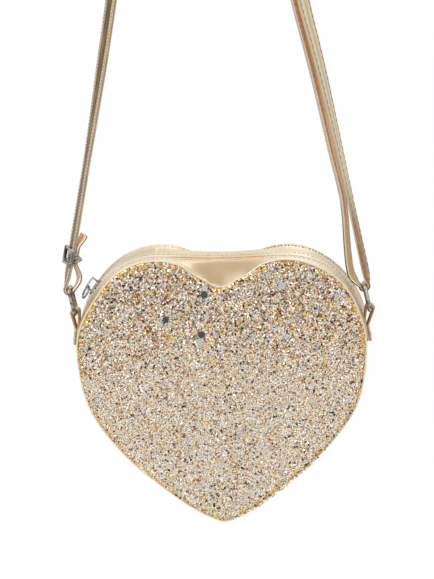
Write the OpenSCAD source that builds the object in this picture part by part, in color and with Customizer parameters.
// Heart-shaped zip purse on a flat shoulder strap, shown hanging from the strap.
// All lengths are in millimetres. The purse is drawn with its lowest tip at zero and its depth
// centred on the XZ plane, front towards -Y, and is then moved so that the strap hangs at the origin.

/* [Heart] */
// Width of the heart across its two lobes
heart_w = 170; // [160:1:180]
// Height of the heart from tip to lobe
heart_h = 156; // [150:1:162]
// Depth of the purse from front face to back face
bag_d = 56; // [48:1:66]
// Radius of each lobe
lobe_r = 46; // [44:0.5:48]
// Radius of the long side curve
side_r = 130; // [122:1:145]
// Radius of the tip
tip_r = 8; // [5:0.5:12]
// Radius of the cleft between the lobes
cleft_r = 10; // [8:0.5:13]

/* [Panels] */
// Thickness of the glitter sheet and of the cover on the back
cover_t = 1.2; // [0.8:0.1:1.6]
// Thickness of the stiff board behind each face
board_t = 1.6; // [1.2:0.1:2.4]
// Thickness of the lining
lining_t = 0.5; // [0.3:0.1:0.8]
// Radius of the piping cord
piping_r = 1; // [0.8:0.05:1.2]

/* [Gusset] */
// Thickness of the gusset's coated cloth
gusset_t = 1.5; // [1.1:0.1:1.8]
// How far the gusset's edge stands out from the panels
rim_out = 1.2; // [0.8:0.1:1.4]
// How far the lower gusset swells beyond its edge
side_swell = 1; // [0.3:0.1:1.8]
// How far the middle of the zip panels sinks below their edge
mid_sink = 2.2; // [1.4:0.1:2.6]
// Sag of the zip between the lobes
bridge_sag = 1.2; // [0.4:0.1:2.5]
// Angle on the lobe at which the zip panels take over from the lower gusset
join_angle = 26; // [22:1:28]

/* [Zip] */
// Width of the slit between the zip panels
slit_w = 1.8; // [1.6:0.1:2.2]
// Half width of the zip tape
tape_half = 9; // [8:0.5:10]
// Thickness of the zip tape
tape_t = 0.6; // [0.4:0.1:0.8]
// Pitch of the teeth
tooth_pitch = 2.4; // [2.2:0.1:3]
// Length of one tooth along the zip
tooth_l = 1.3; // [1:0.1:1.6]
// Width of one row of teeth
tooth_w = 1.5; // [1.2:0.1:1.8]
// Height of a tooth
tooth_h = 2; // [1.6:0.1:2.4]
// Angle on the left lobe at which the slider waits
slider_angle = 37; // [36:0.5:42]
// Length of the zip slider
slider_l = 10; // [9:0.5:11]
// Width of the zip slider
slider_w = 6.4; // [5:0.2:7]
// Thickness of each slider plate
plate_t = 1.2; // [1:0.1:1.5]
// Room for the pull under the slider's bridge, beyond its wire and clearances
bridge_room = 1.2; // [1:0.1:1.4]
// Outer diameter of the ring pull
pull_d = 9; // [8:0.2:9.4]
// Wire radius of the ring pull
pull_wire_r = 0.6; // [0.5:0.05:0.7]
// Lean of the ring pull from the vertical
pull_lean = 31; // [29:1:40]
// Turn of the ring pull towards the front
pull_turn = 14; // [0:1:16]

/* [Strap] */
// Width of the strap and of the side tabs
strap_w = 10; // [9:0.5:11]
// Thickness of the strap
strap_t = 2; // [1.6:0.1:2.2]
// Height of the hanging point above the tip of the heart
hang_h = 441; // [420:1:470]
// Sideways lean of the hanging point to the left
hang_lean = 24; // [8:1:28]
// Largest turn of the strap about its own length
strap_turn = 36; // [10:1:40]
// Length of the straight pull at the foot of the left strand
left_run = 235; // [180:5:245]
// Length of the straight pull at the foot of the right strand
right_run = 135; // [120:5:200]
// Height of the high adjuster as a share of the right strand's run
high_share = 0.5; // [0.42:0.01:0.6]

/* [Rings] */
// Wire radius of the two side rings
ring_wire_r = 1.3; // [1.1:0.05:1.4]
// Height of a ring between the middles of its bars
ring_h = 14.6; // [14:0.1:16]
// Radius of a ring's corners
ring_corner = 1.8; // [1.5:0.1:2]
// Sideways lean of both rings
ring_lean = 12; // [8:0.5:14]
// Gap between a ring's lower bar and the side of the heart's outline
ring_gap = 2.6; // [2.4:0.1:3.8]
// Rise of each ring's lower bar above the middle of the lobe
ring_rise = 12; // [11:0.5:13]
// Thickness of the side tabs
tab_t = 1.4; // [1:0.1:1.5]
// Drop of each tab's sewn foot below the middle of the lobe
tab_drop = 12; // [9:1:15]

/* [Adjusters] */
// Radius of an adjuster's bars
bar_r = 0.8; // [0.7:0.05:0.9]
// Thickness of an adjuster's side plates
cheek_t = 1.2; // [0.9:0.1:1.4]
// Distance between the two outer bars
adjuster_h = 9; // [8:0.2:10]
// Place of the low adjuster as a share of the left strand's run
low_share = 0.028; // [0.027:0.001:0.031]

/* [Hidden] */

// Clearances
touch_gap = 0.1;
run_gap = 0.3;

// Colours
glitter_colour = [0.76, 0.70, 0.56];
cloth_colour = [0.86, 0.79, 0.64];
cord_colour = [0.93, 0.90, 0.82];
board_colour = [0.55, 0.50, 0.44];
lining_colour = [0.80, 0.74, 0.62];
tape_colour = [0.50, 0.38, 0.26];
metal_colour = [0.55, 0.54, 0.53];

// Centres of the heart's arcs. The side arc touches the lobe and the tip from inside.
lobe_c = [heart_w / 2 - lobe_r, heart_h - lobe_r];
tip_c = [0, tip_r];
lobe_reach = side_r - lobe_r;
tip_reach = side_r - tip_r;
span = norm(lobe_c - tip_c);
along = (tip_reach * tip_reach - lobe_reach * lobe_reach + span * span) / (2 * span);
across = sqrt(tip_reach * tip_reach - along * along);
span_dir = (lobe_c - tip_c) / span;
side_c = tip_c + along * span_dir + across * [-span_dir[1], span_dir[0]];
cleft_c = [0, lobe_c[1] + sqrt(pow(lobe_r + cleft_r, 2) - pow(lobe_c[0], 2))];
tip_end = atan2(tip_c[1] - side_c[1], tip_c[0] - side_c[0]);
side_end = atan2(lobe_c[1] - side_c[1], lobe_c[0] - side_c[0]);
lobe_end = atan2(cleft_c[1] - lobe_c[1], cleft_c[0] - lobe_c[0]);

// One arc of the outline as [x, z, normal x, normal z], without its last point
function arc(c, r, a0, a1, steps, way = 1) = [
    for (i = [0:steps - 1])
        let (a = a0 + (a1 - a0) * i / steps)
        [c[0] + r * cos(a), c[1] + r * sin(a), way * cos(a), way * sin(a)]
];
function flip(e) = [-e[0], e[1], -e[2], e[3]];
function mirrored(list) = [for (i = [len(list) - 1:-1:0]) flip(list[i])];

lower_right = concat(
    arc(tip_c, tip_r, -90, tip_end, 2),
    arc(side_c, side_r, tip_end, side_end, 14),
    arc(lobe_c, lobe_r, side_end, join_angle, 5),
    [[lobe_c[0] + lobe_r * cos(join_angle), lobe_c[1] + lobe_r * sin(join_angle),
      cos(join_angle), sin(join_angle)]]
);
upper_right = concat(
    arc(lobe_c, lobe_r, join_angle, 90, 8),
    arc(lobe_c, lobe_r, 90, lobe_end, 6),
    arc(cleft_c, cleft_r, lobe_end - 180, -90, 3, -1),
    [[0, cleft_c[1] - cleft_r, 0, 1]]
);
// Left join to right join by way of the tip, and right join to left join by way of the cleft
lower_band = concat(mirrored([for (i = [1:len(lower_right) - 1]) lower_right[i]]), lower_right);
upper_band = concat(upper_right, mirrored([for (i = [0:len(upper_right) - 2]) upper_right[i]]));
whole = concat(lower_band, [for (i = [1:len(upper_band) - 2]) upper_band[i]]);

// The gusset's surface. Share 0 is an edge and share 1 the middle of the depth.
edge_y = bag_d / 2 - 2 * piping_r - 2 * touch_gap;
swell_top = lobe_c[1] + gusset_t;
sink_start = lobe_c[1] + lobe_r * sin(join_angle);
function clamp(v) = max(0, min(1, v));
function ease(v) = (1 - cos(180 * clamp(v))) / 2;
function level(y) = 1 - pow(y / edge_y, 2);
function crown(z, y) =
    let (b = clamp((z - swell_top) / (sink_start - swell_top)))
    rim_out + level(y) * (side_swell * (1 - b) - mid_sink * b);
function between(e) = abs(e[0]) < lobe_c[0] && e[1] > lobe_c[1];
function bridge_z(x, y) =
    heart_h + crown(heart_h, y) - bridge_sag * pow(cos(90 * x / lobe_c[0]), 2);
function bridged(e, y) = between(e) ? ease((edge_y - abs(y)) / (edge_y - tape_half)) : 0;
function skin(e, y, inset) =
    let (
        w = bridged(e, y),
        d = crown(e[1], y),
        x = e[0] + d * e[2] * (1 - w),
        z0 = e[1] + d * e[3],
        z = between(e) ? z0 + w * (bridge_z(x, y) - z0) : z0,
        n = [(1 - w) * e[2], (1 - w) * e[3] + w],
        u = n / norm(n)
    )
    [x - inset * u[0], y, z - inset * u[1]];

// Faces of a grid of rows by columns, and a closed sheet between two such grids
function grid(rows, cols, start, turned) = [
    for (i = [0:rows - 2], j = [0:cols - 2])
        let (a = start + i * cols + j, b = a + 1, c = a + cols, d = c + 1)
        each (turned ? [[a, b, c], [b, d, c]] : [[a, c, b], [b, c, d]])
];
function strip(list_a, list_b, turned) = [
    for (i = [0:len(list_a) - 2])
        let (a = list_a[i], b = list_a[i + 1], c = list_b[i], d = list_b[i + 1])
        each (turned ? [[a, b, c], [b, d, c]] : [[a, c, b], [b, c, d]])
];
module sheet(band, ys, outer_inset, inner_inset) {
    rows = len(band);
    cols = len(ys);
    size = rows * cols;
    points = concat(
        [for (e = band, y = ys) skin(e, y, outer_inset)],
        [for (e = band, y = ys) skin(e, y, inner_inset)]
    );
    first_col = [for (i = [0:rows - 1]) i * cols];
    last_col = [for (i = [0:rows - 1]) i * cols + cols - 1];
    first_row = [for (j = [0:cols - 1]) j];
    last_row = [for (j = [0:cols - 1]) (rows - 1) * cols + j];
    polyhedron(points, concat(
        grid(rows, cols, 0, false),
        grid(rows, cols, size, true),
        strip(first_col, [for (k = first_col) k + size], false),
        strip(last_col, [for (k = last_col) k + size], true),
        strip(first_row, [for (k = first_row) k + size], true),
        strip(last_row, [for (k = last_row) k + size], false)
    ));
}

// A section swept along frames of [middle, direction of its first axis, direction of its second]
module sweep(line, section, closed = false) {
    k = len(section);
    n = len(line);
    ends = closed ? [] : concat(
        [for (j = [1:k - 2]) [0, j, j + 1]],
        [for (j = [1:k - 2]) [(n - 1) * k, (n - 1) * k + j + 1, (n - 1) * k + j]]
    );
    polyhedron(
        [for (f = line, s = section) f[0] + s[0] * f[1] + s[1] * f[2]],
        concat(
            [for (i = [0:n - (closed ? 1 : 2)], j = [0:k - 1])
                let (next = (j + 1) % k, c = (i + 1) % n * k)
                each [[i * k + j, c + j, i * k + next], [i * k + next, c + j, c + next]]],
            ends
        )
    );
}

// A flat heart between two depths, grown or shrunk from the outline by d
module heart_plate(d, y0, y1) {
    translate([0, y1, 0])
        rotate([90, 0, 0])
            linear_extrude(y1 - y0)
                polygon([for (e = whole) [e[0] + d * e[2], e[1] + d * e[3]]]);
}

// Moves the purse so that the strap's underside hangs at the origin
module hung() {
    translate([hang_lean, 0, strap_t / 2 - hang_h]) children();
}

// Panels
front_y = -bag_d / 2;
board_y = front_y + cover_t;
lining_y = board_y + board_t;
board_in = rim_out - gusset_t - 2 * touch_gap;

module front_glitter() {
    color(glitter_colour) hung() heart_plate(0, front_y, board_y);
}
module front_board() {
    color(board_colour) hung() heart_plate(board_in, board_y, lining_y);
}
module lining_front() {
    color(lining_colour) hung() heart_plate(board_in - lining_t, lining_y, lining_y + lining_t);
}
module back_cover() {
    color(cloth_colour) hung() heart_plate(0, -board_y, -front_y);
}
module back_board() {
    color(board_colour) hung() heart_plate(board_in, -lining_y, -board_y);
}
module lining_back() {
    color(lining_colour) hung() heart_plate(board_in - lining_t, -lining_y - lining_t, -lining_y);
}

// Piping: a round cord that runs once round the outline
cord_out = piping_r + touch_gap;
cord_section = [for (a = [0:45:315]) piping_r * [cos(a), sin(a)]];
module piping(y) {
    sweep([for (e = whole)
        [[e[0] + cord_out * e[2], y, e[1] + cord_out * e[3]], [e[2], 0, e[3]], [0, 1, 0]]],
        cord_section, true);
}
module front_piping() {
    color(cord_colour) hung() piping(front_y + cord_out);
}
module back_piping() {
    color(cord_colour) hung() piping(-front_y - cord_out);
}

// Gusset, in a lower band and two panels beside the zip
band_shares = [0, 0.1, 0.25, 0.5, 0.75, 0.9, 1];
panel_shares = [0, 0.14, 0.3, 0.48, 0.66, 0.82, 1];
tape_shares = [0, 0.5, 1];
slit_half = slit_w / 2;
tape_top = gusset_t + touch_gap;
lining_top = gusset_t + 2 * touch_gap;
lining_edge = -lining_y - lining_t - touch_gap;
function spread(a, b, shares) = [for (s = shares) a + (b - a) * s];

// Between its ends the lining is creased at the same depths as the zip panel above it
panel_ys = spread(-edge_y, -slit_half, panel_shares);
lining_ys = concat(
    [-lining_edge],
    [for (y = panel_ys) if (y > -lining_edge + piping_r && y < -tape_half - piping_r) y],
    [-tape_half - touch_gap]
);

module lower_gusset() {
    color(cloth_colour) hung()
        sheet(lower_band, spread(-edge_y, edge_y, band_shares), 0, gusset_t);
}
module zip_panel() {
    sheet(upper_band, panel_ys, 0, gusset_t);
}
module zip_panel_front() {
    color(cloth_colour) hung() zip_panel();
}
module zip_panel_back() {
    color(cloth_colour) hung() mirror([0, 1, 0]) zip_panel();
}
module lining_gusset() {
    color(lining_colour) hung()
        sheet(lower_band, spread(-lining_edge, lining_edge, band_shares),
              lining_top, lining_top + lining_t);
}
module lining_top_panel() {
    drop = lining_top + 2 * touch_gap;
    sheet(upper_band, lining_ys, drop, drop + lining_t);
}
module lining_top_front() {
    color(lining_colour) hung() lining_top_panel();
}
module lining_top_back() {
    color(lining_colour) hung() mirror([0, 1, 0]) lining_top_panel();
}

// Zip: tape, teeth and stops
tooth_inset = tape_top + 2 * touch_gap + tooth_h / 2;
mid_r = lobe_r + crown(heart_h, 0);
tooth_line_r = mid_r - tooth_inset;
stop_l = 2 * tooth_l;
stop_angle = join_angle + stop_l / tooth_line_r * 180 / PI;
first_tooth = join_angle + 2 * stop_l / tooth_line_r * 180 / PI;
tooth_turn = tooth_pitch / tooth_line_r * 180 / PI;

module zip_tape() {
    sheet(upper_band, spread(-tape_half, -slit_half - tooth_w, tape_shares),
          tape_top, tape_top + tape_t);
}
module zip_tape_front() {
    color(tape_colour) hung() zip_tape();
}
module zip_tape_back() {
    color(tape_colour) hung() mirror([0, 1, 0]) zip_tape();
}
// A block centred on the line of the teeth, at an angle on the right lobe
module on_lobe(angle, size) {
    translate([lobe_c[0], 0, lobe_c[1]])
        rotate([0, 90 - angle, 0])
            translate([-size[0] / 2, -slit_half - size[1], tooth_line_r - size[2] / 2])
                cube(size);
}
module zip_teeth() {
    tooth = [tooth_l, tooth_w, tooth_h];
    for (side = [0, 1], angle = [first_tooth:tooth_turn:90])
        mirror([side, 0, 0]) on_lobe(angle, tooth);
    bridge_steps = floor((2 * lobe_c[0] - 2 * tooth_pitch) / tooth_pitch);
    for (i = [0:bridge_steps])
        let (x = (i - bridge_steps / 2) * tooth_pitch)
            translate([x - tooth_l / 2, -slit_half - tooth_w,
                       bridge_z(x, 0) - tooth_inset - tooth_h / 2])
                cube(tooth);
}
module zip_teeth_front() {
    color(tape_colour) hung() zip_teeth();
}
module zip_teeth_back() {
    color(tape_colour) hung() mirror([0, 1, 0]) zip_teeth();
}
// A stop is clamped over both rows, with a web between them under the slit
module zip_stop() {
    for (side = [0, 1]) mirror([0, side, 0]) on_lobe(stop_angle, [stop_l, tooth_w, tooth_h]);
    translate([0, slit_w + tooth_w, 0])
        on_lobe(stop_angle, [stop_l, slit_w + 2 * tooth_w, tooth_h]);
}
module zip_stop_right() {
    color(metal_colour) hung() zip_stop();
}
module zip_stop_left() {
    color(metal_colour) hung() mirror([1, 0, 0]) zip_stop();
}

// Slider: two plates joined by a neck through the slit, with a bridge for the pull on top
plate_in = mid_r + run_gap;
plate_out = plate_in + plate_t;
neck_w = slit_w - 2 * run_gap;
neck_l = slider_l / 3;
bridge_gap = 2 * pull_wire_r + 2 * run_gap + bridge_room;
bridge_in = plate_out + bridge_gap;
bridge_t = plate_t * 0.8;
bridge_w = slider_w / 4;
bridge_l = slider_l * 0.8;
floor_out = tooth_line_r - tooth_h / 2 - run_gap;

// A block bent round the left lobe's centre, of a length measured at its outer radius
module bent_block(r0, r1, width, length, shift = 0) {
    half = length / r1 * 90 / PI;
    middle = 180 - slider_angle - shift / r1 * 180 / PI;
    translate([-lobe_c[0], 0, lobe_c[1]])
        rotate([90, 0, 0])
            rotate([0, 0, middle - half])
                rotate_extrude(angle = 2 * half, $fn = 160)
                    translate([r0, -width / 2]) square([r1 - r0, width]);
}
module zip_slider() {
    post = (bridge_l - bridge_t) / 2;
    color(metal_colour) hung() union() {
        bent_block(plate_in, plate_out, slider_w, slider_l);
        bent_block(floor_out - plate_t / 2, plate_in + plate_t / 2, neck_w, neck_l);
        bent_block(floor_out - plate_t, floor_out, slider_w, slider_l);
        for (end = [-1, 1])
            bent_block(plate_out - plate_t / 2, bridge_in + bridge_t / 2, bridge_w, bridge_t, end * post);
        bent_block(bridge_in, bridge_in + bridge_t, bridge_w, bridge_l);
    }
}

// Ring pull, hooked under the bridge at its lower end
pivot_r = bridge_in - run_gap - pull_wire_r;
pivot_shift = bridge_l / 2 - bridge_t - run_gap - pull_wire_r;
pivot_angle = slider_angle - pivot_shift / pivot_r * 180 / PI;
pull_pivot = [-lobe_c[0] - pivot_r * cos(pivot_angle), lobe_c[1] + pivot_r * sin(pivot_angle)];
pull_r = pull_d / 2 - pull_wire_r;
module pull_ring() {
    color(metal_colour) hung()
        translate([pull_pivot[0], 0, pull_pivot[1]])
            rotate([0, pull_lean, 0])
                rotate([0, 0, pull_turn])
                    translate([0, 0, -pull_r])
                        rotate([0, 90, 0])
                            rotate_extrude($fn = 64)
                                translate([pull_r, 0]) circle(pull_wire_r, $fn = 20);
}

// Side rings: rounded oblongs of wire, with the lower bar at the origin
ring_w = strap_w + 2 * ring_corner + 2 * run_gap;
ring_x = heart_w / 2 + ring_gap;
ring_z = lobe_c[1] + ring_rise;
ring_top = [-ring_h * sin(ring_lean), ring_h * cos(ring_lean)];
module wire(length) {
    translate([0, 0, -length / 2]) cylinder(length, ring_wire_r, ring_wire_r, $fn = 32);
}
module side_ring() {
    straight_y = ring_w - 2 * ring_corner;
    straight_z = ring_h - 2 * ring_corner;
    for (z = [0, ring_h]) translate([0, 0, z]) rotate([90, 0, 0]) wire(straight_y);
    for (side = [-1, 1]) translate([0, side * ring_w / 2, ring_h / 2]) wire(straight_z);
    for (side = [0, 1], end = [0, 1])
        translate([0, 0, ring_h / 2])
            mirror([0, side, 0]) mirror([0, 0, end])
                translate([0, straight_y / 2, straight_z / 2])
                    rotate([90, 0, 90])
                        rotate_extrude(angle = 90, $fn = 48)
                            translate([ring_corner, 0]) circle(ring_wire_r, $fn = 32);
}
module left_ring() {
    color(metal_colour) hung()
        translate([-ring_x, 0, ring_z]) rotate([0, -ring_lean, 0]) side_ring();
}
module right_ring() {
    color(metal_colour) hung()
        translate([ring_x, 0, ring_z]) rotate([0, -ring_lean, 0]) side_ring();
}

// Side tabs: a strip folded over a ring's lower bar, its two legs sewn together on the gusset
tab_foot_z = lobe_c[1] - tab_drop;
tab_split_z = (tab_foot_z + ring_z) / 2 - 2 * ring_wire_r;
tab_neck_z = ring_z - 4 * tab_t - 2 * ring_wire_r;
tab_foot_shares = [0, 0.35, 0.7, 1];
function side_x(z) =
    let (d = crown(z, 0), side_z = lobe_c[1] + lobe_r * sin(side_end))
    z < side_z ? side_c[0] + sqrt(pow(side_r + d, 2) - pow(z - side_c[1], 2))
               : lobe_c[0] + sqrt(pow(lobe_r + d, 2) - pow(z - lobe_c[1], 2));
tab_fold_r = ring_wire_r + run_gap + tab_t / 2;
tab_line = concat(
    [for (z = spread(tab_foot_z, tab_split_z, tab_foot_shares))
        [side_x(z) + 3 * touch_gap + tab_t / 2, z]],
    [[side_x(tab_neck_z) + 4 * touch_gap + tab_t / 2, tab_neck_z]],
    [for (a = [190:-20:-10]) [ring_x + tab_fold_r * cos(a), ring_z + tab_fold_r * sin(a)]],
    [for (z = spread(tab_split_z, tab_foot_z, tab_foot_shares))
        [side_x(z) + 4 * touch_gap + tab_t * 3 / 2, z]]
);
function turn_at(line, i) =
    let (
        a = line[max(0, i - 1)],
        b = line[min(len(line) - 1, i + 1)],
        u = (b - a) / norm(b - a)
    )
    [-u[1], u[0]];
function ribbon(line, t) = concat(
    [for (i = [0:len(line) - 1]) line[i] + turn_at(line, i) * t / 2],
    [for (i = [len(line) - 1:-1:0]) line[i] - turn_at(line, i) * t / 2]
);
module side_tab() {
    translate([0, strap_w / 2, 0])
        rotate([90, 0, 0]) linear_extrude(strap_w) polygon(ribbon(tab_line, tab_t));
}
module right_tab() {
    color(cloth_colour) hung() side_tab();
}
module left_tab() {
    color(cloth_colour) hung() mirror([1, 0, 0]) side_tab();
}

// The strap's two strands, each a curve from its ring's upper bar to the hanging point. A pull is
// the strand's slant at its foot, and a crest the reach of its level run at the hanging point.
left_pull = 11.5;
right_pull = 12;
left_crest = 24;
right_crest = 60;
wrap_r = ring_wire_r + run_gap + strap_t / 2;
left_bar = [-ring_x, ring_z] + ring_top;
right_bar = [ring_x, ring_z] + ring_top;
apex = [-hang_lean, hang_h];
left_start = left_bar + wrap_r * [-cos(left_pull), sin(left_pull)];
right_start = right_bar + wrap_r * [cos(right_pull), sin(right_pull)];
left_curve = [left_start, left_start + left_run * [sin(left_pull), cos(left_pull)],
              apex - [left_crest, 0], apex];
right_curve = [right_start, right_start + right_run * [-sin(right_pull), cos(right_pull)],
               apex + [right_crest, 0], apex];

function bend(c, t) =
    pow(1 - t, 3) * c[0] + 3 * pow(1 - t, 2) * t * c[1] + 3 * (1 - t) * t * t * c[2] + pow(t, 3) * c[3];
function heading(c, t) =
    let (v = pow(1 - t, 2) * (c[1] - c[0]) + 2 * (1 - t) * t * (c[2] - c[1]) + t * t * (c[3] - c[2]))
    v / norm(v);

// How far the strap has turned about its own length along a strand
turn_shares = [
    [0, 0], [0.006, 0.18], [0.013, 0.5], [0.05, 0.5], [0.12, 0.42], [0.2, 0.42],
    [0.3, 0.6], [0.4, 0.85], [0.5, 1], [0.6, 0.95], [0.75, 0.6], [0.9, 0.15], [1, 0]
];

// A frame on a strand: its middle, its direction of width, its outward direction and its way up
function strand(c, t) =
    let (
        p = bend(c, t),
        u = heading(c, t),
        out = c[0][0] < 0 ? [-u[1], u[0]] : [u[1], -u[0]],
        turn = strap_turn * lookup(t, turn_shares)
    )
    [[p[0], 0, p[1]],
     [sin(turn) * out[0], cos(turn), sin(turn) * out[1]],
     [cos(turn) * out[0], -sin(turn), cos(turn) * out[1]],
     [u[0], 0, u[1]]];
function inside(f, gap) = [f[0] - gap * f[2], f[1], -f[2]];
function around(bar, a) =
    [[bar[0] + wrap_r * cos(a), 0, bar[1] + wrap_r * sin(a)], [0, 1, 0], [cos(a), 0, sin(a)]];

// Gaps between the layers of the strap, from middle to middle: lying together, spare slack and
// spread of the turned-up tail, the loop at the right ring, the doubled strand, and the sewn end
pair_gap = strap_t + run_gap;
slack_gap = 3.4;
tail_spread = 3.4;
loop_gap = 8.3;
layer_gap = 4.7;
sewn_gap = pair_gap + strap_t + touch_gap;
bar_in = strap_t / 2 + 2 * run_gap + strap_t + bar_r;
loop_r = bar_r + run_gap + strap_t / 2;
meet_share = low_share * 0.85;
leave_share = low_share * 1.3;
tail_share = low_share * 1.75;
function tail_gap(t) =
    2 * wrap_r + (pair_gap - 2 * wrap_r) * ease(t / meet_share)
    + slack_gap * pow(sin(180 * clamp(t / meet_share)), 2)
    + tail_spread * ease((t - leave_share) / (tail_share - leave_share));
function double_gap(t) = lookup(t, [
    [0, 2 * wrap_r],
    [high_share * 0.02, (2 * wrap_r + loop_gap) / 2],
    [high_share * 0.05, loop_gap],
    [high_share * 0.08, loop_gap],
    [high_share * 0.14, (loop_gap + layer_gap) / 2],
    [high_share * 0.24, layer_gap],
    [high_share * 0.86, layer_gap],
    [high_share * 0.93, sewn_gap],
    [high_share * 0.975, sewn_gap],
    [high_share, bar_in + loop_r]
]);

high_frame = strand(right_curve, high_share);
high_bar = high_frame[0] - bar_in * high_frame[2];
function bar_loop(a) =
    let (n = -cos(a) * high_frame[2] + sin(a) * high_frame[3])
    [high_bar + loop_r * n, high_frame[1], n];
function forward(f, gap) = [f[0] - gap * f[2], f[1], f[2]];

strap_line = concat(
    [for (i = [16:-1:1]) inside(strand(left_curve, tail_share * i / 16), tail_gap(tail_share * i / 16))],
    [for (i = [0:12]) around(left_bar, -left_pull - i * (180 / 12))],
    [for (i = [1:44]) strand(left_curve, i / 44)],
    [for (i = [43:-1:1]) strand(right_curve, i / 44)],
    [for (i = [0:12]) around(right_bar, right_pull - i * (180 / 12))],
    [for (i = [1:47]) inside(strand(right_curve, high_share * i / 48), double_gap(high_share * i / 48))],
    [for (i = [0:8]) bar_loop(i * (180 / 8))],
    [for (i = [1:4]) forward(strand(right_curve, high_share * (1 - 0.016 * i)), pair_gap)]
);
strap_bevel = strap_t / 4;
strap_section = let (w = strap_w / 2, t = strap_t / 2, b = strap_bevel) [
    [b - w, -t], [w - b, -t], [w, b - t], [w, t - b],
    [w - b, t], [b - w, t], [-w, t - b], [-w, b - t]
];
module shoulder_strap() {
    color(cloth_colour) hung() sweep(strap_line, strap_section);
}

// Adjusters: two outer bars and a middle bar between two cheeks, the strap passing between them.
// The bars end inside the cheeks. A cheek's outline runs round the bars, and it has a window.
cheek_r = bar_r + run_gap;
bar_out = strap_t / 2 + run_gap + bar_r;
cheek_slope = atan2(adjuster_h / 2, bar_out + bar_in);
window_share = 0.6;
function corner(p, a0, a1) = [
    for (i = [0:6])
        let (a = a0 + (a1 - a0) * i / 6)
        p + cheek_r * [cos(a), sin(a)]
];
module cheek(upper, lower, middle) {
    centre = (upper + lower + middle) / 3;
    difference() {
        linear_extrude(cheek_t)
            polygon(concat(
                corner(lower, -90 - cheek_slope, 0),
                corner(upper, 0, 90 + cheek_slope),
                corner(middle, 90 + cheek_slope, 270 - cheek_slope)
            ));
        translate([0, 0, -cheek_t])
            linear_extrude(3 * cheek_t)
                polygon([for (p = [lower, upper, middle]) centre + window_share * (p - centre)]);
    }
}
module adjuster(f) {
    side = cross(f[3], f[2]);
    reach = strap_w / 2 + run_gap;
    upper = [bar_out, adjuster_h / 2];
    lower = [bar_out, -adjuster_h / 2];
    middle = [-bar_in, 0];
    multmatrix([for (i = [0:2]) [f[2][i], side[i], f[3][i], f[0][i]]]) {
        for (bar = [upper, lower, middle])
            translate([bar[0], reach + cheek_t / 2, bar[1]])
                rotate([90, 0, 0]) cylinder(2 * reach + cheek_t, bar_r, bar_r, $fn = 24);
        for (end = [-1, 1])
            translate([0, end * (reach + cheek_t / 2) + cheek_t / 2, 0])
                rotate([90, 0, 0]) cheek(upper, lower, middle);
    }
}
module low_adjuster() {
    color(metal_colour) hung() adjuster(strand(left_curve, low_share));
}
module high_adjuster() {
    color(metal_colour) hung() adjuster(high_frame);
}

front_glitter();
front_board();
back_cover();
back_board();
front_piping();
back_piping();
lower_gusset();
zip_panel_front();
zip_panel_back();
lining_front();
lining_back();
lining_gusset();
lining_top_front();
lining_top_back();
zip_tape_front();
zip_tape_back();
zip_teeth_front();
zip_teeth_back();
zip_stop_left();
zip_stop_right();
zip_slider();
pull_ring();
left_tab();
right_tab();
left_ring();
right_ring();
shoulder_strap();
low_adjuster();
high_adjuster();
